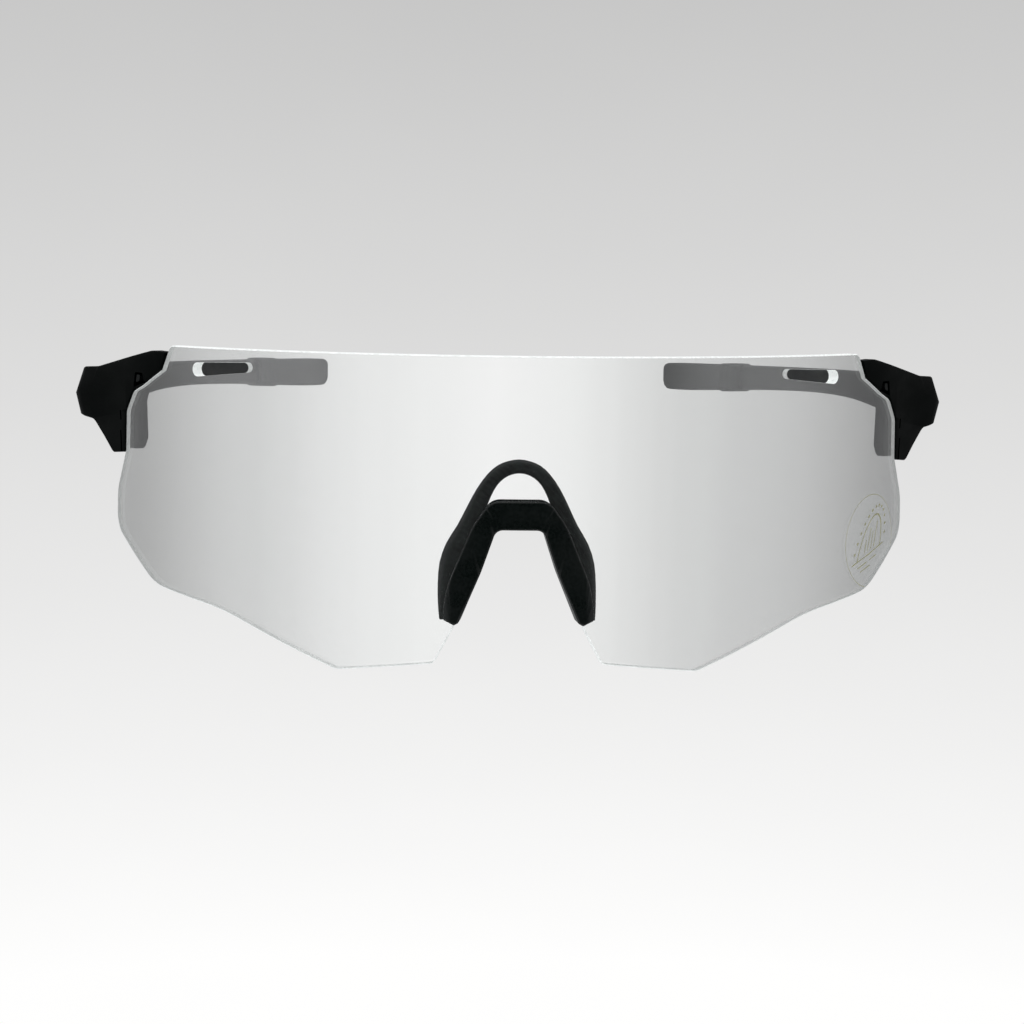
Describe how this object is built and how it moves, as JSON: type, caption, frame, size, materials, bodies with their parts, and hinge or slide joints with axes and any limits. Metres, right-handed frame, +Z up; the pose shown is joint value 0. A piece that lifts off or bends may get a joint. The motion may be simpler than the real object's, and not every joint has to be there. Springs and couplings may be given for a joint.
{
  "type": "wraparound sport sunglasses",
  "caption": "Rimless wraparound sport glasses: one clear shield lens with vents and a nose cutout, a rubber nose piece and folding temples with soft ear grips.",
  "frame": {"origin": "middle of the bounding box at its lowest level, which is the lens's lower corners, with the glasses as worn and the temples open", "axes": "+Z up as worn, -Y the way the lens looks, +Y along the temples, +X towards the wearer's left"},
  "size_m": [0.1578, 0.1612, 0.051],
  "materials": {
    "lens": "clear polycarbonate, lightly mirrored",
    "film": "clear peel-off film",
    "nose_clip": "satin moulded nylon",
    "nose_pad": "soft matte rubber",
    "frame_nylon": "satin moulded nylon",
    "bracket_nylon": "matte moulded nylon",
    "screw_steel": "plated steel",
    "nut_brass": "turned brass",
    "temple_nylon": "satin moulded nylon",
    "core_steel": "spring steel",
    "sock_rubber": "soft matte rubber"
  },
  "bodies": {
    "front": {"shield_lens": "lens", "lens_sticker": "film", "nose_clip": "nose_clip", "nose_pad": "nose_pad", "end_piece_right": "frame_nylon", "lens_bracket_right": "bracket_nylon", "bracket_screw_upper_right": "screw_steel", "bracket_screw_lower_right": "screw_steel", "hinge_screw_right": "screw_steel", "hinge_nut_right": "nut_brass", "end_piece_left": "frame_nylon", "lens_bracket_left": "bracket_nylon", "bracket_screw_upper_left": "screw_steel", "bracket_screw_lower_left": "screw_steel", "hinge_screw_left": "screw_steel", "hinge_nut_left": "nut_brass"},
    "temple_right": {"temple_arm_right": "temple_nylon", "temple_core_right": "core_steel", "ear_sock_right": "sock_rubber"},
    "temple_left": {"temple_arm_left": "temple_nylon", "temple_core_left": "core_steel", "ear_sock_left": "sock_rubber"}
  },
  "joints": [
    {"name": "temple_fold_right", "type": "hinge", "parent": "front", "child": "temple_right", "pos_m": [0.07406, -0.02786, 0.04155], "axis": [0, 0, 1], "range_deg": [0, 76]},
    {"name": "temple_fold_left", "type": "hinge", "parent": "front", "child": "temple_left", "pos_m": [-0.07406, -0.02786, 0.04155], "axis": [0, 0, -1], "range_deg": [0, 68]}
  ]
}
